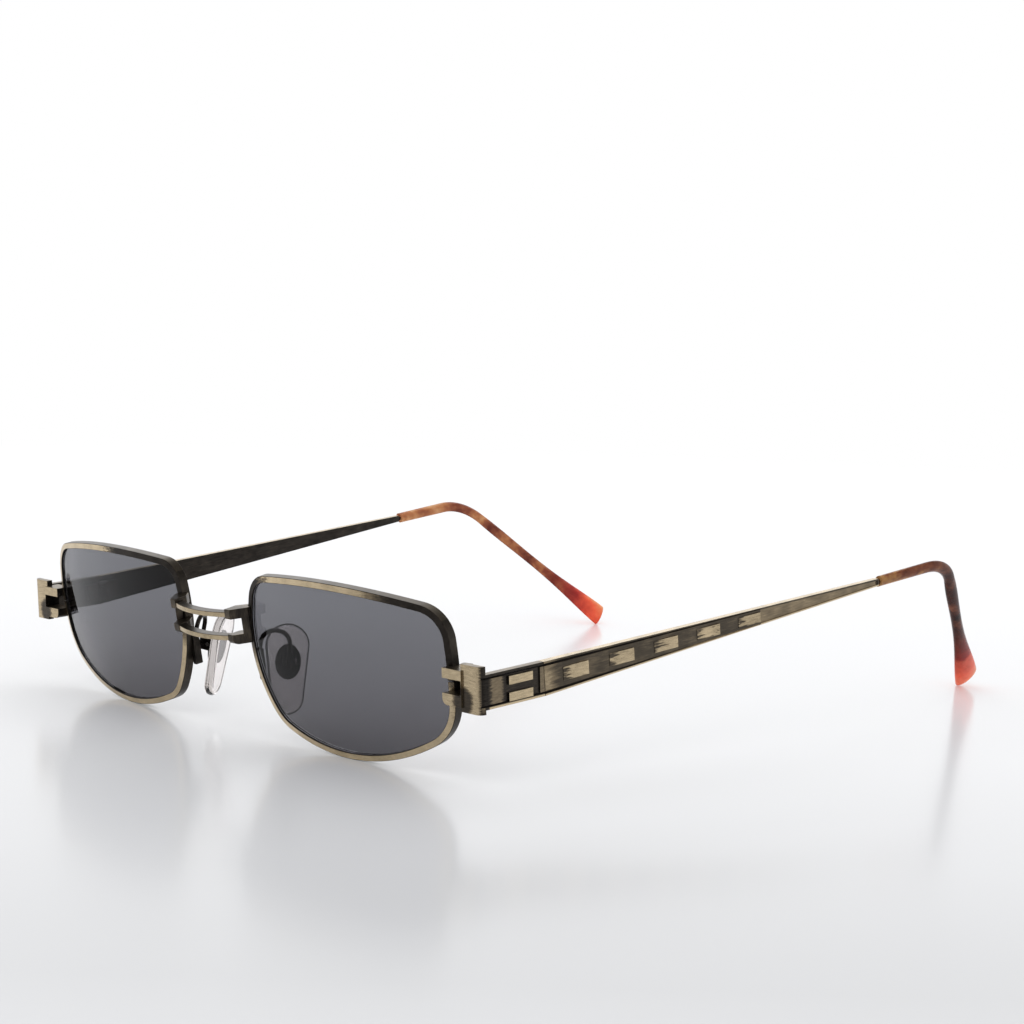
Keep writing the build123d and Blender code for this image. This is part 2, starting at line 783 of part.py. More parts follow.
# Pad arm: a foot along the rim and a looped wire that carries the box
foot_plane = lens_plane.offset(-foot_setback)
foot_top = foot_height / 2 - foot_drop
foot_reach = nasal_top_reach + foot_step
wire_start = foot_plane.from_local_coords((-foot_reach, foot_top - wire_diameter, 0))
wire_high = foot_plane.from_local_coords((-foot_reach, foot_top + wire_rise, -wire_lean))
wire_level = box_inner_back + box_back + solder_gap + wire_diameter / 2
wire_end = pad_plane.from_local_coords((0, -box_height / 2, wire_level))
wire_turn = pad_plane.from_local_coords((0, wire_top_run, wire_level))
with BuildPart() as pad_arm:
    with BuildSketch(foot_plane):
        with Locations((-foot_reach, -foot_drop)):
            Rectangle(foot_width, foot_height)
    extrude(amount=foot_depth / 2, both=True)
    fillet(pad_arm.edges().filter_by(Axis(lens_plane.origin, lens_plane.z_dir)), foot_width / 4)
    with BuildLine() as wire_path:
        FilletPolyline(
            wire_start,
            wire_high,
            wire_turn,
            wire_end,
            radius=wire_loop_radius,
        )
    with BuildSketch(Plane(origin=wire_path.line @ 0, z_dir=wire_path.line % 0)):
        Circle(wire_diameter / 2)
    sweep(path=wire_path.line)
    add(rim_space, mode=Mode.SUBTRACT)

# Every paired piece is written for both sides
paired_pieces = {
    "rim": rim.part,
    "lens": lens.part,
    "rim_lock_upper": rim_lock_upper.part,
    "rim_lock_lower": rim_lock_lower.part,
    "rim_lock_screw": rim_lock_screw.part,
    "bridge_lug": bridge_lug.part,
    "endpiece": endpiece.part,
    "hinge_front": hinge_front.part,
    "hinge_temple": hinge_temple.part,
    "hinge_screw": hinge_screw.part,
    "temple": temple_bar.part,
    "temple_tip": temple_tip.part,
    "nose_pad": nose_pad.part,
    "pad_mount": pad_mount.part,
    "pad_box": pad_box.part,
    "pad_screw": pad_screw.part,
    "pad_arm": pad_arm.part,
}
for name, left_piece in paired_pieces.items():
    right_piece = mirrored(left_piece)
    left_piece.label = name + "_left"
    right_piece.label = name + "_right"
    export_step(left_piece, "parts/" + name + "_left.step")
    export_step(right_piece, "parts/" + name + "_right.step")

bridge_bar_upper.part.label = "bridge_bar_upper"
export_step(bridge_bar_upper.part, "parts/bridge_bar_upper.step")
bridge_bar_lower.part.label = "bridge_bar_lower"
export_step(bridge_bar_lower.part, "parts/bridge_bar_lower.step")
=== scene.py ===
import json
from math import cos, radians, sin

import bmesh
import bpy
from mathutils import Matrix, Vector


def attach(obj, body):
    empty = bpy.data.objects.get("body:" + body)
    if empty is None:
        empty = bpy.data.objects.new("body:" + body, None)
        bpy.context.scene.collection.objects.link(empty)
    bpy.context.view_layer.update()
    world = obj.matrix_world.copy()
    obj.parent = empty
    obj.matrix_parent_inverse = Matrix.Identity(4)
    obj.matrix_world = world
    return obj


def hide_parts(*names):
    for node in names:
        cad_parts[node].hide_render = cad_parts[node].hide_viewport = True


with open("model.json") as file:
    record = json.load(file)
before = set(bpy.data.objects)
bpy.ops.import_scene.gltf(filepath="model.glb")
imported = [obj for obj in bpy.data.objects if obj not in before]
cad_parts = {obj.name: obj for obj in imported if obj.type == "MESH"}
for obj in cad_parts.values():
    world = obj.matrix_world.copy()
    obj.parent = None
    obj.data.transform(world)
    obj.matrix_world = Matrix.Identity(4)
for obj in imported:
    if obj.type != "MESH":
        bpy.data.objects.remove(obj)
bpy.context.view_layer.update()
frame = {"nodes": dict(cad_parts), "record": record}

scene = bpy.context.scene
MM = 0.001
NODES = frame["nodes"]
BODIES = frame["record"]["behaviour"]["bodies"]
BODY_OF = {member: body for body, members in BODIES.items() for member in members}
SIDES = ("left", "right")

# Sizes and places on the part in millimetres
DEPTH = 76.28
LENS_SPAN, LENS_HEIGHT = 33.0, 14.71
BRIDGE_HEIGHT = 20.4
HINGE_SPAN, HINGE_SETBACK, HINGE_HEIGHT = 61.448, 17.5, 16.78
WALL_OFFSET = 1.3
ARM_HEIGHT, ARM_THICKNESS, ARM_RAIL = 5.65, 1.35, 0.45
ARM_GROOVE_DEPTH, ARM_FIELD_DEPTH, ARM_BAR_PROUD = 0.30, 0.25, 0.12
TEMPLE_LENGTH = 84.6
TEMPLE_HEIGHT, NECK_HEIGHT = 5.65, 1.35
TEMPLE_THICKNESS, NECK_THICKNESS = 1.35, 1.2
TEMPLE_RAIL, NECK_RAIL = 0.35, 0.12
SCOOP_DEPTH = 0.12
FIRST_TILE, TILE_PITCH = 4.1, 10.45
TAIL_START, NECK_START = 51.7, 60.0
# The arm's flat side starts here behind the bend, and the lug's lip ends here
ARM_START, LUG_LIP_END = -12.6, 8.7
# What stands up or down by less than this counts as level with the side around it
LEAST_STEP = 0.04

# Its angles
TILT, WRAP = radians(11.6), radians(5.0)
ARM_RISE, TEMPLE_RISE, SPLAY = radians(4.0), radians(7.0), radians(2.8)
PAD_FLARE, PAD_RAKE = radians(32.0), radians(10.0)


# Planes on the part
class Place:
    """A plane on the left half; points and directions of the right half are mirrored onto it."""

    def __init__(self, origin, x_dir, z_dir):
        self.origin = Vector(origin)
        self.x_dir = Vector(x_dir).normalized()
        self.z_dir = Vector(z_dir).normalized()
        self.y_dir = self.z_dir.cross(self.x_dir)

    def on_axes(self, v):
        return Vector((v.dot(self.x_dir), v.dot(self.y_dir), v.dot(self.z_dir)))

    def point(self, co):
        """Where a point in metres lies on the plane, in millimetres."""
        return self.on_axes(Vector((abs(co[0]), co[1], co[2])) / MM - self.origin)

    def direction(self, normal, co):
        """Which way the normal at a point goes, seen from the plane."""
        across = normal[0] if co[0] > 0 else -normal[0]
        return self.on_axes(Vector((across, normal[1], normal[2])))


LENS = Place(
    (LENS_SPAN, -DEPTH, LENS_HEIGHT),
    (cos(WRAP), sin(WRAP) * cos(TILT), sin(WRAP) * sin(TILT)),
    (sin(WRAP), -cos(WRAP) * cos(TILT), -cos(WRAP) * sin(TILT)),
)
BRIDGE = Place((0, -DEPTH, BRIDGE_HEIGHT), (1, 0, 0), (0, -sin(TILT), cos(TILT)))
HINGE_ORIGIN = (HINGE_SPAN, HINGE_SETBACK - DEPTH, HINGE_HEIGHT)
ARM = Place(HINGE_ORIGIN, (1, 0, 0), (0, -sin(ARM_RISE), cos(ARM_RISE)))
HINGE = Place(HINGE_ORIGIN, (1, 0, 0), (0, -sin(TEMPLE_RISE), cos(TEMPLE_RISE)))
TEMPLE = Place(HINGE_ORIGIN, HINGE.x_dir * cos(SPLAY) - HINGE.y_dir * sin(SPLAY), HINGE.z_dir)
PAD_FACE = Place(
    (0, 0, 0),
    (sin(PAD_FLARE), cos(PAD_FLARE), 0),
    (cos(PAD_FLARE) * cos(PAD_RAKE), -sin(PAD_FLARE) * cos(PAD_RAKE), sin(PAD_RAKE)),
)


# Node helpers
def opaque(colour):
    return (*colour, 1.0)


class Nodes:
    """Adds nodes to one tree; an input takes another node's output or a value."""

    def __init__(self, tree):
        self.tree = tree
        tree.nodes.clear()

    def node(self, kind, inputs=None, **settings):
        made = self.tree.nodes.new(kind)
        for key, value in settings.items():
            setattr(made, key, value)
        for key, value in (inputs or {}).items():
            if isinstance(value, bpy.types.NodeSocket):
                self.tree.links.new(value, made.inputs[key])
            else:
                made.inputs[key].default_value = value
        return made

    def math(self, operation, a, b=0.0):
        return self.node("ShaderNodeMath", {0: a, 1: b}, operation=operation).outputs[0]

    def total(self, result, *others):
        for other in others:
            result = self.math("ADD", result, other)
        return result

    def product(self, result, *others):
        for other in others:
            result = self.math("MULTIPLY", result, other)
        return result

    def larger(self, a, b):
        return self.math("MAXIMUM", a, b)

    def opposite(self, share):
        return self.math("SUBTRACT", 1.0, share)

    def dot(self, vector, way):
        return self.node(
            "ShaderNodeVectorMath", {0: vector, 1: way}, operation="DOT_PRODUCT"
        ).outputs["Value"]

    def axes(self, vector):
        return self.node("ShaderNodeSeparateXYZ", {0: vector}).outputs

    def spread(self, value, low, high, to_low=0.0, to_high=1.0):
        return self.node(
            "ShaderNodeMapRange", {0: value, 1: low, 2: high, 3: to_low, 4: to_high}
        ).outputs[0]

    def below(self, value, full, none):
        """1 up to the first value, 0 from the second one on."""
        return self.spread(value, full, none, 1.0, 0.0)

    def band(self, value, start, full_start, full_end, end):
        """1 between the inner two values, 0 outside the outer two."""
        return self.product(self.spread(value, start, full_start), self.below(value, full_end, end))

    def sway(self, noise, amount, reach=0.2):
        """A noise turned into a shift to both sides of zero."""
        return self.spread(noise, 0.5 - reach, 0.5 + reach, -amount, amount)

    def blend(self, factor, first, second):
        return self.node("ShaderNodeMixShader", {0: factor, 1: first, 2: second}).outputs[0]


class Shader(Nodes):
    """Builds one procedural material."""

    def __init__(self, name):
        self.material = bpy.data.materials.new(name)
        self.material.use_nodes = True
        super().__init__(self.material.node_tree)

    def attribute(self, name, output="Fac"):
        return self.node("ShaderNodeAttribute", attribute_name=name).outputs[output]

    def coords(self):
        return self.node("ShaderNodeTexCoord").outputs["Object"]

    def scaled(self, vector, scale):
        return self.node("ShaderNodeMapping", {"Vector": vector, "Scale": scale}).outputs[0]

    def noise(self, vector, scale, detail, rough):
        return self.node(
            "ShaderNodeTexNoise",
            {"Vector": vector, "Scale": scale, "Detail": detail, "Roughness": rough},
        ).outputs["Fac"]

    def ramp(self, value, stops):
        made = self.node("ShaderNodeValToRGB", {"Fac": value})
        elements = made.color_ramp.elements
        while len(elements) < len(stops):
            elements.new(0.5)
        for element, (position, colour) in zip(elements, stops):
            element.position = position
            element.color = opaque(colour)
        return made.outputs["Color"]

    def mix(self, factor, first, second):
        return self.node(
            "ShaderNodeMix", {0: factor, 6: first, 7: second}, data_type="RGBA"
        ).outputs[2]

    def bump(self, height, strength, distance):
        return self.node(
            "ShaderNodeBump", {"Height": height, "Strength": strength, "Distance": distance}
        ).outputs[0]

    def surface(self, inputs):
        return self.node("ShaderNodeBsdfPrincipled", inputs).outputs[0]

    def finish(self, shader):
        self.node("ShaderNodeOutputMaterial", {"Surface": shader})
        return self.material

    def finish_clear(self, shader, tint):
        """A finish that lets tinted light through to the table."""
        shadow = self.node("ShaderNodeLightPath").outputs["Is Shadow Ray"]
        through = self.node("ShaderNodeBsdfTransparent", {"Color": opaque(tint)}).outputs[0]
        return self.finish(self.blend(shadow, shader, through))


# Antique brass: dark patina, brushed through to brass where it is proud; on the rims and the end
# pieces the same scale also carries painted reflection
PATINA = (
    (0.0, (0.006, 0.005, 0.005)),
    (0.22, (0.036, 0.031, 0.026)),
    (0.45, (0.085, 0.070, 0.052)),
    (0.7, (0.235, 0.185, 0.120)),
    (0.88, (0.470, 0.378, 0.243)),
    (1.0, (0.640, 0.515, 0.335)),
)
POLISHED = 0.95
STROKE_DEPTH = 0.03 * MM

# Marks on faces: 0 is a plain face, then one on the outer side, then one with a pattern: painted
# reflection on the end pieces, dark teeth on the temples' tiles
OUTER, PATTERNED = 0.5, 1.0


class Brass(Shader):
    """Brushed brass; the spot is the place in the piece, in millimetres."""

    def __init__(self, name):
        super().__init__(name)
        self.spot = self.attribute("spot", "Vector")
        self.grain = self.noise(self.spot, 9.0, 2.0, 0.6)

    def hairlines(self, stretch, scale):
        return self.noise(self.scaled(self.spot, stretch), scale, 4.0, 0.6)

    def outer_or_patterned(self, mark):
        return self.spread(mark, OUTER - 0.3, OUTER - 0.1)

    def patterned(self, mark):
        return self.spread(mark, PATTERNED - 0.4, PATTERNED - 0.1)

    def polished(self, level, share):
        return self.total(self.product(level, self.opposite(share)), self.product(share, POLISHED))

    def brush(self, level, strokes, grain_share=0.02):
        """The finished brass, from patina at level 0 to bare metal at level 1."""
        level = self.total(level, self.sway(self.grain, grain_share))
        return self.finish(
            self.surface(
                {
                    "Base Color": self.ramp(level, PATINA),
                    "Metallic": 0.95,
                    "Roughness": self.total(
                        self.spread(level, 0.0, 1.0, 0.40, 0.24), self.sway(self.grain, 0.03, 0.3)
                    ),
                    "Normal": self.bump(strokes, 0.16, STROKE_DEPTH),
                }
            )
        )


def brass_plain(name, stretch, stroke_share, patch_share):
    """Brushed one way, with soft patches."""
    s = Brass(name)
    strokes = s.hairlines(stretch, 2.2)
    patches = s.noise(s.spot, 0.42, 2.0, 0.5)
    level = s.total(
        s.attribute("wear_and_highlight"), s.sway(strokes, stroke_share), s.sway(patches, patch_share, 0.18)
    )
    return s.brush(level, strokes)


def brass_edge():
    """The rims' narrow edges, kept dark."""
    s = Brass("brass_edge")
    strokes = s.hairlines((1.2, 1.2, 1.2), 2.2)
    return s.brush(s.spread(strokes, 0.3, 0.7, 0.10, 0.34), strokes)


def brass_rim(name, top_start, top_end, low_end):
    """A rim: painted reflection, bright brass along its top up to a soft end and along its foot, dark
    at the upright sides.
    """
    s = Brass(name)
    where = s.axes(s.spot)
    strokes = s.hairlines((0.5, 1.6, 1.6), 2.4)
    patches = s.noise(s.spot, 0.35, 2.0, 0.5)
    ragged = s.sway(strokes, 1.6)
    across = s.total(where["X"], ragged)
    low_half_end, top_half_start = -1.5, 3.5
    rise = s.total(where["Y"], s.product(ragged, 0.5))
    upper = s.spread(rise, low_half_end, top_half_start)
    # Painted reflection: bright along the top between its two ends and along the foot, dark at the
    # upright sides
    top_reflection = s.band(across, top_start - 3.0, top_start + 0.5, top_end - 4.0, top_end + 3.0)
    foot_reflection = s.below(across, low_end - 2.5, low_end + 2.5)
    run = s.total(s.product(upper, top_reflection), s.product(s.opposite(upper), foot_reflection))
    level = s.total(
        s.attribute("wear_and_highlight"),
        s.product(s.attribute("side"), run),
        s.sway(strokes, 0.05),
        s.sway(patches, 0.05, 0.18),
    )
    return s.brush(level, strokes)


def brass_temple():
    """The temples: brushed lengthways, each tile darker at its front end."""
    s = Brass("brass_temple")
    wear_and_highlight, side = s.attribute("wear_and_highlight"), s.attribute("side")
    where = s.axes(s.spot)
    along = where["Y"]
    strokes = s.hairlines((2.4, 0.22, 2.4), 2.0)
    coarse = s.hairlines((1.3, 0.12, 1.3), 2.0)
    patches = s.noise(s.scaled(s.spot, (1, 0.6, 1)), 0.5, 2.0, 0.5)
    tile = s.patterned(side)
    # Dark teeth reach into each tile from its front end
    teeth_length, teeth_shade = 2.6, 0.46
    into_tile = s.math("FLOORED_MODULO", s.math("SUBTRACT", along, FIRST_TILE), TILE_PITCH)
    front = s.spread(into_tile, 0.0, teeth_length, 0.95, 0.0)
    teeth = s.spread(s.total(front, s.sway(coarse, 0.75, 0.14)), 0.5, 0.95, 0.0, teeth_shade)
    # The face before the first tile is brushed at the joint and darkens towards the tile
    lead_start, lead_end, lead_light = 1.2, 3.4, 0.3
    lead = s.product(
        s.spread(s.total(along, s.sway(coarse, 1.0)), lead_start, lead_end, lead_light, 0.0),
        s.band(wear_and_highlight, 0.2, 0.3, 0.5, 0.6),
    )
    level = s.total(wear_and_highlight, s.sway(strokes, 0.07), s.sway(patches, 0.07, 0.18), lead)
    level = s.math("SUBTRACT", level, s.product(teeth, tile))
    # The lower rail is polished through along its whole length
    polish_end, polish_fade = 0.20, 0.12
    half_height = s.spread(along, 0.0, TEMPLE_LENGTH, TEMPLE_HEIGHT / 2, NECK_HEIGHT / 2)
    foot = s.below(s.total(where["Z"], half_height), polish_end, polish_end + polish_fade)
    rail = s.product(s.outer_or_patterned(side), s.opposite(tile), foot)
    return s.brush(s.polished(level, rail), strokes)


def brass_end():
    """The end pieces: bright on the plate, then painted reflection along the side: dark over the
    bend, bright behind it, the arm dark up to a bright strip at the joint.
    """
    s = Brass("brass_end")
    wear_and_highlight, side = s.attribute("wear_and_highlight"), s.attribute("side")
    where = s.axes(s.spot)
    strokes = s.hairlines((0.4, 0.4, 2.2), 2.0)
    ragged = s.sway(s.hairlines((0.4, 0.4, 2.4), 2.0), 0.32, 0.18)
    # How far round the bend: the sum of both ways, smooth from the plate to the arm
    around = s.total(where["X"], where["Y"], ragged)
    # Painted reflection along the side: a dark band over the bend, then the arm darkened up to the
    # joint
    bend = s.band(around, -12.1, -11.4, -9.9, -9.0)
    arm = s.product(s.spread(around, -7.0, -6.3), s.below(where["Y"], -1.6, -1.2))
    # A dark patch low on the plate, beside the clasp
    patch_inset, patch_drop, patch_radius, patch_fade = 1.3, 1.9, 0.95, 0.5
    low_x = s.product(s.total(where["X"], patch_inset), 0.62)
    low_z = s.product(s.total(where["Z"], patch_drop), 0.5)
    away = s.math("SQRT", s.total(s.product(low_x, low_x), s.product(low_z, low_z)))
    away = s.total(away, s.product(ragged, 0.5))
    patch = s.below(away, patch_radius, patch_radius + patch_fade)
    bend_shade, arm_shade, patch_shade = 0.50, 0.46, 0.55
    dark = s.larger(s.product(bend, bend_shade), s.product(arm, arm_shade))
    dark = s.larger(dark, s.product(patch, patch_shade))
    level = s.math("SUBTRACT", wear_and_highlight, s.product(dark, s.patterned(side)))
    level = s.total(level, s.sway(strokes, 0.09))
    # The lower rail of the arm is polished through
    polish_end, polish_fade, polish_lead = -2.50, 0.12, 0.4
    rail = s.product(
        s.outer_or_patterned(side),
        s.below(where["Z"], polish_end, polish_end + polish_fade),
        s.spread(where["Y"], ARM_START, ARM_START + polish_lead),
    )
    return s.brush(s.polished(level, rail), strokes, 0.03)


# The other materials
def screw_steel():
    s = Shader("screw_steel")
    grain = s.noise(s.coords(), 6000.0, 3.0, 0.6)
    return s.finish(
        s.surface(
            {
                "Base Color": s.ramp(
                    grain, ((0.25, (0.16, 0.15, 0.14)), (0.75, (0.42, 0.40, 0.37)))
                ),
                "Metallic": 1.0,
                "Roughness": s.spread(grain, 0.2, 0.8, 0.24, 0.4),
                "Normal": s.bump(grain, 0.15, STROKE_DEPTH),
            }
        )
    )


def smoke_glass():
    """Smoke grey, a little lighter towards the top and darker towards the foot: a painted gradient of
    reflection and shade.
    """
    s = Shader("smoke_glass")
    spot = s.attribute("spot", "Vector")
    cloud = s.noise(spot, 0.12, 2.0, 0.5)
    foot, top = -13.0, 11.0
    shade = s.total(s.spread(s.axes(spot)["Y"], foot, top), s.sway(cloud, 0.03))
    glass = s.surface(
        {
            "Base Color": s.ramp(
                shade,
                (
                    (0.0, (0.106, 0.103, 0.112)),
                    (0.35, (0.128, 0.126, 0.138)),
                    (0.7, (0.150, 0.150, 0.164)),
                    (1.0, (0.168, 0.170, 0.186)),
                ),
            ),
            "Transmission Weight": 1.0,
            "Roughness": 0.0,
            "IOR": 1.22,
        }
    )
    return s.finish_clear(glass, (0.42, 0.42, 0.44))


def clear_pad(name, painted_ring_colour, painted_ring_clear):
    """Clear plastic, with a painted ring at its rim that stands for the refraction there: the ring's
    colour and clearness.
    """
    s = Shader(name)
    cloud = s.noise(s.coords(), 500.0, 3.0, 0.5)
    ring = s.spread(s.attribute("edge"), 0.05, 0.5)
    middle = s.ramp(cloud, ((0.2, (0.93, 0.87, 0.85)), (0.8, (0.97, 0.93, 0.92))))
    plastic = s.surface(
        {
            "Base Color": s.mix(ring, middle, opaque(painted_ring_colour)),
            "Transmission Weight": s.spread(ring, 0.0, 1.0, 1.0, painted_ring_clear),
            "Roughness": s.spread(cloud, 0.2, 0.8, 0.0, 0.03),
            "IOR": 1.46,
        }
    )
    return s.finish_clear(plastic, (0.9, 0.86, 0.85))


def tortoiseshell(name, start, end, browns, embers):
    """Mottled brown plastic; how dark it starts and ends, and its colours from dark to light."""
    s = Shader(name)
    lengthways = s.scaled(s.coords(), (1, 0.35, 0.35))
    run = s.attribute("run")
    clouds = s.noise(lengthways, 420.0, 3.0, 0.55)
    fine_clouds = s.noise(lengthways, 1200.0, 2.0, 0.5)
    mottle = s.total(
        s.sway(clouds, 0.26, 0.18), s.sway(fine_clouds, 0.08), s.spread(run, 0.0, 0.42, start, end)
    )
    brown = s.ramp(mottle, tuple(zip((0.10, 0.34, 0.58, 0.80, 0.98), browns)))
    glow = s.total(s.spread(run, 0.70, 1.0), s.sway(clouds, 0.16))
    ember = s.ramp(glow, tuple(zip((0.05, 0.40, 0.72, 1.0), embers)))
    plastic = s.surface(
        {
            "Base Color": s.mix(s.spread(run, 0.64, 0.86), brown, ember),
            "Transmission Weight": 0.25,
            "Roughness": s.spread(clouds, 0.2, 0.8, 0.12, 0.2),
            "IOR": 1.3,
            "Specular IOR Level": 0.12,
        }
    )
    return s.finish_clear(plastic, (0.5, 0.22, 0.12))


# The two rims differ only in where their painted reflection lies
BRASS_RIM = {
    "left": brass_rim("brass_rim_left", top_start=-17.0, top_end=10.0, low_end=25.0),
    "right": brass_rim("brass_rim_right", top_start=-1.0, top_end=30.0, low_end=30.0),
}
BRASS_EDGE = brass_edge()
BRASS_LUG = brass_plain("brass_lug", (2.0, 2.0, 0.35), stroke_share=0.10, patch_share=0.10)
BRASS_BAR = brass_plain("brass_bar", (0.3, 2.2, 2.2), stroke_share=0.07, patch_share=0.06)
BRASS_BODY = brass_plain("brass_body", (1.2, 1.2, 1.2), stroke_share=0.06, patch_share=0.08)
BRASS_WORN = brass_plain("brass_worn", (1.5, 1.5, 1.5), stroke_share=0.10, patch_share=0.14)
BRASS_TEMPLE = brass_temple()
BRASS_END = brass_end()
STEEL = screw_steel()
SMOKE = smoke_glass()
# The pads are one plastic and differ only in their painted ring: dark for the near left pad, light
# grey for the far right one
PAD = {
    "left": clear_pad("clear_pad_left", painted_ring_colour=(0.035, 0.030, 0.027), painted_ring_clear=0.12),
    "right": clear_pad("clear_pad_right", painted_ring_colour=(0.58, 0.54, 0.52), painted_ring_clear=1.0),
}
# The tips are one plastic: the far right tip is coloured lighter than the near left one, as painted
# light
SHELL = {
    "left": tortoiseshell(
        "tortoiseshell_left",
        start=0.72,
        end=0.38,
        browns=(
            (0.022, 0.008, 0.007),
            (0.085, 0.026, 0.016),
            (0.230, 0.078, 0.040),
            (0.480, 0.250, 0.090),
            (0.700, 0.460, 0.190),
        ),
        embers=(
            (0.120, 0.016, 0.012),
            (0.330, 0.030, 0.022),
            (0.960, 0.190, 0.110),
            (1.000, 0.440, 0.270),
        ),
    ),
    "right": tortoiseshell(
        "tortoiseshell_right",
        start=0.88,
        end=0.62,
        browns=(
            (0.040, 0.012, 0.009),
            (0.150, 0.034, 0.024),
            (0.340, 0.105, 0.055),
            (0.600, 0.250, 0.105),
            (0.800, 0.450, 0.220),
        ),
        embers=(
            (0.260, 0.024, 0.020),
            (0.420, 0.040, 0.034),
            (0.960, 0.140, 0.070),
            (1.000, 0.460, 0.200),
        ),
    ),
}

# How far the brushing has gone through the patina, face by face, with a painted highlight on the
# temples' tops: 0 is dark, 1 is bare brass.
# In each rule p is the face's middle on the piece's plane, in millimetres, and n is its normal.
# A normal leans, faces or stands square to a direction from these shares on.
LEANING, FACING, SQUARE_ON = 0.5, 0.6, 0.8


def even_wear(share):
    return lambda p, n: share


def wear_of_rim(p, n):
    front, back, inside, top, outside = 0.17, 0.25, 0.13, 0.42, 0.26
    if n.z > FACING:
        return front
    if n.z < -FACING:
        return back
    if p.x * n.x + p.y * n.y <= 0:
        return inside
    return top if n.y > FACING else outside


def painted_reflection_of_rim(p, n):
    """How much brighter the front gets under the painted reflection."""
    return 0.78 if n.z > FACING else 0.0


def wear_of_bridge(p, n):
    front, top, other = 0.86, 0.36, 0.24
    if n.y < -FACING:
        return front
    return top if n.z > FACING else other


def wear_of_lug(p, n):
    lip_front, towards_middle, top, other = 0.42, 0.30, 0.5, 0.28
    if n.y < -SQUARE_ON and p.x < LUG_LIP_END:
        return lip_front
    if n.x < -FACING:
        return towards_middle
    return top if n.z > FACING else other


def wear_of_endpiece(p, n):
    plate, ear, bar, top, other = 0.90, 0.22, 0.90, 0.6, 0.18
    groove, low_rail, high_rail, field, arm = 0.0, 0.88, 0.36, 0.24, 0.63
    if n.y < -FACING and p.y < ARM_START:
        return plate
    if n.x > FACING:
        proud = p.x - WALL_OFFSET - ARM_THICKNESS
        if abs(p.z) > ARM_HEIGHT / 2:
            return ear
        if proud > ARM_BAR_PROUD / 2:
            return bar
        if p.y < ARM_START:
            return arm
        if proud < -(ARM_GROOVE_DEPTH + ARM_FIELD_DEPTH) / 2:
            return groove
        if abs(p.z) > ARM_HEIGHT / 2 - ARM_RAIL:
            return low_rail if p.z < 0 else high_rail
        return field if proud < -ARM_FIELD_DEPTH / 2 else arm
    return top if n.z > FACING else other


def mark_of_endpiece(p, n):
    outer, forwards = n.x > LEANING, n.y < -FACING
    between_rails = (outer or forwards) and abs(p.z) < ARM_HEIGHT / 2 - ARM_RAIL
    flush = -ARM_BAR_PROUD < p.x - WALL_OFFSET - ARM_THICKNESS < ARM_BAR_PROUD / 2
    if (between_rails or forwards and p.y < ARM_START) and (flush or n.y < -LEANING):
        return PATTERNED
    return OUTER if outer and p.y > ARM_START else 0.0


def taper(p, at_hinge, at_neck):
    return at_hinge + (at_neck - at_hinge) * p.y / TEMPLE_LENGTH


def proud_of_temple(p):
    return p.x - WALL_OFFSET - taper(p, TEMPLE_THICKNESS, NECK_THICKNESS)


def wear_and_highlight_of_temple(p, n):
    tile, groove, tail, low_rail, high_rail, scoop = 0.87, 0.0, 0.66, 0.92, 0.34, 0.45
    field, neck, top, bottom, front_end, inside = 0.42, 0.55, 0.95, 0.5, 0.26, 0.16
    if n.x > FACING:
        proud = proud_of_temple(p)
        if proud > LEAST_STEP:
            return tile
        if proud < -SCOOP_DEPTH - LEAST_STEP:
            return groove if p.y < TAIL_START else tail
        rail_start = taper(p, TEMPLE_HEIGHT / 2 - TEMPLE_RAIL, NECK_HEIGHT / 2 - NECK_RAIL)
        if abs(p.z) > rail_start - LEAST_STEP:
            return low_rail if p.z < 0 else high_rail
        if proud < -LEAST_STEP:
            return scoop
        return field if p.y < NECK_START else neck
    # The top is bare brass: wear, and a painted highlight
    if n.z > FACING:
        return top
    if n.z < -FACING:
        return bottom
    return front_end if n.y < -FACING else inside


def mark_of_temple(p, n):
    if n.x < FACING:
        return 0.0
    return PATTERNED if proud_of_temple(p) > LEAST_STEP else OUTER


# Pieces
WELD_DISTANCE = 0.0002 * MM
FLAT_ANGLE, EDGE_ANGLE = radians(0.6), radians(30)
PLAIN_WEAR, PAD_PARTS_WEAR = 0.28, 0.14


def add_values(mesh, name, kind, domain, values):
    field = "vector" if kind == "FLOAT_VECTOR" else "value"
    mesh.attributes.new(name, kind, domain).data.foreach_set(field, values)


def spots_of(vertices, place):
    return [value for vertex in vertices for value in place.point(vertex.co)]


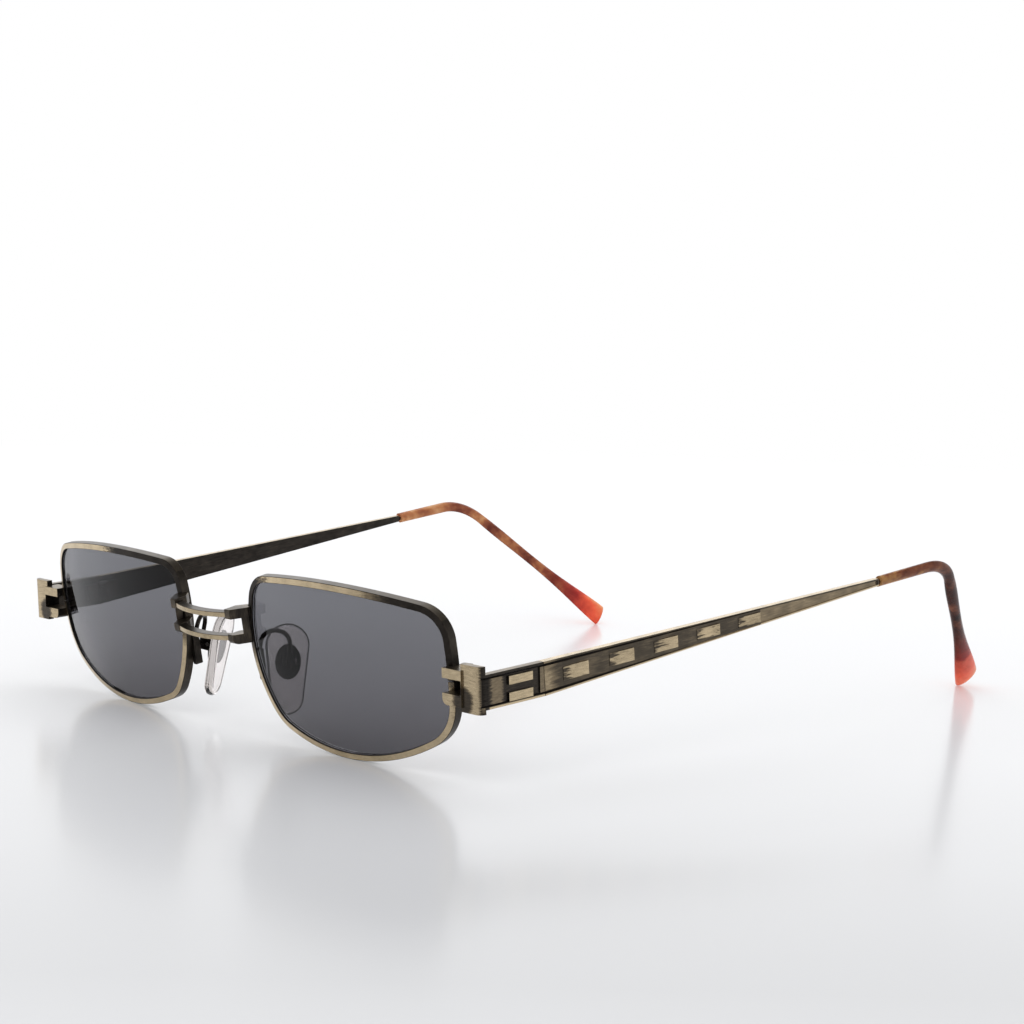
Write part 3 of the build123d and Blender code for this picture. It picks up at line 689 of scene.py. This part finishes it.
def rounded(node, place, wear_rule, material, width, slot, side_rule=None, edge=None, segments=2):
    """A copy of the CAD node with its edges rounded, which stands for it."""
    mesh = NODES[node].data.copy()
    mesh.name = node + "_skin"
    if "custom_normal" in mesh.attributes:
        mesh.attributes.remove(mesh.attributes["custom_normal"])
    work = bmesh.new()
    work.from_mesh(mesh)
    bmesh.ops.remove_doubles(work, verts=work.verts, dist=WELD_DISTANCE)
    bmesh.ops.dissolve_limit(
        work,
        angle_limit=FLAT_ANGLE,
        use_dissolve_boundaries=False,
        verts=work.verts,
        edges=work.edges,
    )
    work.normal_update()
    wears, sides = [], []
    for face in work.faces:
        face.smooth = True
        middle = face.calc_center_median()
        p, n = place.point(middle), place.direction(face.normal, middle)
        wears.append(wear_rule(p, n))
        sides.append(side_rule(p, n) if side_rule else 0.0)
    spots = spots_of(work.verts, place)
    work.to_mesh(mesh)
    work.free()
    add_values(mesh, "wear_and_highlight", "FLOAT", "FACE", wears)
    add_values(mesh, "side", "FLOAT", "FACE", sides)
    add_values(mesh, "spot", "FLOAT_VECTOR", "POINT", spots)
    mesh.materials.clear()
    mesh.materials.append(material)
    piece = bpy.data.objects.new(node + "_skin", mesh)
    scene.collection.objects.link(piece)
    bevel = piece.modifiers.new("edges", "BEVEL")
    bevel.width = width * MM
    bevel.segments = segments
    bevel.limit_method = "ANGLE"
    bevel.angle_limit = EDGE_ANGLE
    bevel.harden_normals = True
    bevel.use_clamp_overlap = True
    if edge:
        mesh.materials.append(edge)
        bevel.material = 1
    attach(piece, BODY_OF[node])
    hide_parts(node)


def brass(node, place, wear_rule, material, width, **more):
    rounded(node, place, wear_rule, material, width, "antique_brass", **more)


def dress(node, material):
    """The CAD node itself, with a finished material."""
    mesh = NODES[node].data
    mesh.materials.clear()
    mesh.materials.append(material)
    return mesh


for side in SIDES:
    brass(
        "rim_" + side,
        LENS,
        wear_of_rim,
        BRASS_RIM[side],
        0.17,
        side_rule=painted_reflection_of_rim,
        edge=BRASS_EDGE,
        segments=3,
    )
    brass("bridge_lug_" + side, BRIDGE, wear_of_lug, BRASS_LUG, 0.18, edge=BRASS_WORN)
    brass("endpiece_" + side, ARM, wear_of_endpiece, BRASS_END, 0.08, side_rule=mark_of_endpiece)
    brass("temple_" + side, TEMPLE, wear_and_highlight_of_temple, BRASS_TEMPLE, 0.05, side_rule=mark_of_temple)
    for name in ("rim_lock_upper_", "rim_lock_lower_", "hinge_front_", "hinge_temple_"):
        brass(name + side, BRIDGE, even_wear(PLAIN_WEAR), BRASS_BODY, 0.1)
    for name, width in (("pad_arm_", 0.08), ("pad_box_", 0.06), ("pad_mount_", 0.06)):
        brass(name + side, BRIDGE, even_wear(PAD_PARTS_WEAR), BRASS_BODY, width)
    for name in ("rim_lock_screw_", "hinge_screw_", "pad_screw_"):
        rounded(name + side, BRIDGE, even_wear(PLAIN_WEAR), STEEL, 0.05, "screw_steel")
    lens = dress("lens_" + side, SMOKE)
    add_values(lens, "spot", "FLOAT_VECTOR", "POINT", spots_of(lens.vertices, LENS))
for level in ("upper", "lower"):
    brass("bridge_bar_" + level, BRIDGE, wear_of_bridge, BRASS_BAR, 0.12)


def slide(value, low, high):
    share = min(1.0, max(0.0, (value - low) / (high - low)))
    return share * share * (3 - 2 * share)


# Pads: how far each face looks sideways, for the painted ring of refraction at the rim of the clear
# plastic
SIDEWAYS, FLAT_ON = 0.5, 0.99
for side in SIDES:
    pad = dress("nose_pad_" + side, PAD[side])
    edges = []
    for polygon in pad.polygons:
        facing = abs(PAD_FACE.direction(polygon.normal, polygon.center).z)
        edges.append(1.0 - slide(facing, SIDEWAYS, FLAT_ON))
    add_values(pad, "edge", "FLOAT", "FACE", edges)

# Tips: how far along the sleeve each point is, for the colour; the sleeve drops as it runs back
DROP_SHARE = 0.35
for side in SIDES:
    tip = dress("temple_tip_" + side, SHELL[side])
    places = [TEMPLE.point(vertex.co) for vertex in tip.vertices]
    runs = [p.y - p.z * DROP_SHARE for p in places]
    least, most = min(runs), max(runs)
    add_values(tip, "run", "FLOAT", "POINT", [(run - least) / (most - least) for run in runs])


# Table
def table_finish():
    """A white table, a little greyer towards one corner as painted shade, and plain white far out."""
    s = Shader("white_table")
    where = s.node("ShaderNodeNewGeometry").outputs["Position"]
    grain = s.noise(where, 2500.0, 3.0, 0.6)
    near_end, far_end, way = -0.2, 0.3, (-0.713, 0.701, 0.0)
    # Painted shade: the top greys towards the near side
    across = s.spread(s.dot(where, way), near_end, far_end)
    top = s.surface(
        {
            "Base Color": s.ramp(
                across,
                (
                    (0.02, (0.625,) * 3),
                    (0.13, (0.755,) * 3),
                    (0.28, (0.865,) * 3),
                    (0.42, (0.910,) * 3),
                    (0.62, (0.945,) * 3),
                    (0.9, (0.975,) * 3),
                ),
            ),
            "Roughness": s.spread(grain, 0.2, 0.8, 0.15, 0.21),
            "Specular IOR Level": 0.42,
            "Normal": s.bump(grain, 0.04, 0.1 * MM),
        }
    )
    rays = s.node("ShaderNodeLightPath").outputs
    sight = s.larger(rays["Is Glossy Ray"], rays["Is Transmission Ray"])
    sight = s.larger(sight, rays["Is Camera Ray"])
    distance = s.node("ShaderNodeVectorMath", {0: where}, operation="LENGTH").outputs["Value"]
    white = s.node("ShaderNodeEmission", {"Color": opaque((1, 1, 1)), "Strength": 1.0}).outputs[0]
    fade_start, fade_end = 0.28, 0.75
    far = s.product(s.spread(distance, fade_start, fade_end), sight)
    return s.finish(s.blend(far, top, white))


TABLE_SIZE, TABLE_DROP = 6.0, 0.03 * MM
bpy.ops.mesh.primitive_plane_add(size=TABLE_SIZE, location=(0, 0, -TABLE_DROP))
table = bpy.context.object
table.name = "table"
table.data.materials.append(table_finish())

# World: soft light, seen as plain white behind the table; metal mirrors a dim room above and in front
world = scene.world or bpy.data.worlds.new("world")
scene.world = world
world.use_nodes = True
sky = Nodes(world.node_tree)


def background(colour, strength):
    inputs = {"Color": opaque(colour), "Strength": strength}
    return sky.node("ShaderNodeBackground", inputs).outputs[0]


direction = sky.node("ShaderNodeTexCoord").outputs["Generated"]
low_down = sky.below(sky.axes(direction)["Z"], 0.25, 0.6)
behind = sky.below(sky.dot(direction, (0.35, -0.94, 0.0)), 0.1, 0.6)
room = background((1, 1, 1), sky.spread(sky.product(low_down, behind), 0.0, 1.0, 0.3, 1.0))
soft = background((0.96, 0.97, 1.0), 0.80)
white = background((1, 1, 1), 1.0)
rays = sky.node("ShaderNodeLightPath").outputs
plain_sight = sky.larger(rays["Is Camera Ray"], rays["Is Transmission Ray"])
shown = sky.blend(plain_sight, sky.blend(rays["Is Glossy Ray"], soft, room), white)
sky.node("ShaderNodeOutputWorld", {"Surface": shown})


# Lamps
def lamp(name, place, width, height, watts, colour=(1, 1, 1)):
    """A flat lamp that points at the part."""
    data = bpy.data.lights.new(name, "AREA")
    data.shape = "RECTANGLE"
    data.size, data.size_y = width, height
    data.energy = watts
    data.color = colour
    made = bpy.data.objects.new(name, data)
    made.location = place
    made.rotation_mode = "QUATERNION"
    made.rotation_quaternion = (-Vector(place)).to_track_quat("-Z", "Y")
    scene.collection.objects.link(made)


lamp("window", (-0.7, 0.8, 1.0), width=1.6, height=1.2, watts=7.0, colour=(0.97, 0.98, 1.0))
lamp("fill", (0.6, -0.7, 0.9), width=0.8, height=0.8, watts=2.5)

# Camera
CAMERA_PLACE = Vector((0.2958, -0.21898 - DEPTH * MM, 0.073915))
YAW, PITCH, ROLL = radians(45.46), radians(-5.27), radians(1.63)
SENSOR_WIDTH = 36.0
PICTURE_PIXELS, FOCAL_PIXELS = 1024.0, 2096.0
ahead = Vector((-sin(YAW) * cos(PITCH), cos(YAW) * cos(PITCH), sin(PITCH)))
level_right = Vector((cos(YAW), sin(YAW), 0))
level_up = level_right.cross(ahead)
right = level_right * cos(ROLL) + level_up * sin(ROLL)
up = level_up * cos(ROLL) - level_right * sin(ROLL)

camera_data = bpy.data.cameras.new("camera")
camera_data.sensor_width = SENSOR_WIDTH
camera_data.lens = SENSOR_WIDTH * FOCAL_PIXELS / PICTURE_PIXELS
camera_data.clip_start, camera_data.clip_end = 0.01, 20.0
camera = bpy.data.objects.new("camera", camera_data)
scene.collection.objects.link(camera)
turned = Matrix((right, up, -ahead)).transposed().to_4x4()
camera.matrix_world = Matrix.Translation(CAMERA_PLACE) @ turned
scene.camera = camera
scene.view_settings.view_transform = "Standard"
